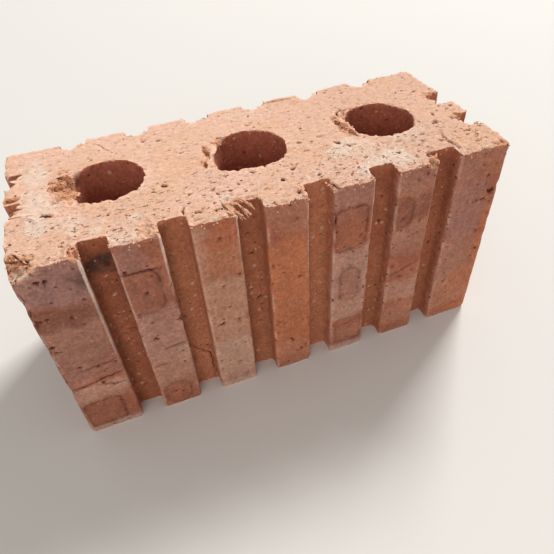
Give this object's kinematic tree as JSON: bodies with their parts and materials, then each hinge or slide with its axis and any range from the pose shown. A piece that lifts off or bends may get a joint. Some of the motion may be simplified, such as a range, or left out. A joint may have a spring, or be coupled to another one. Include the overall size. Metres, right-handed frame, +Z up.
{
  "type": "cored clay brick",
  "caption": "Extruded red clay brick with round cores through its bed faces and upright keying grooves in all four sides.",
  "frame": {"origin": "middle of the bottom face, on the surface that the brick stands on", "axes": "+X along the brick, +Y across it away from the long side that the picture shows, +Z up the cores"},
  "size_m": [0.24, 0.1, 0.12],
  "materials": {
    "fired_clay": "fired red clay, matt, rough on the cut faces"
  },
  "bodies": {
    "root": {"brick": "fired_clay"}
  },
  "joints": []
}
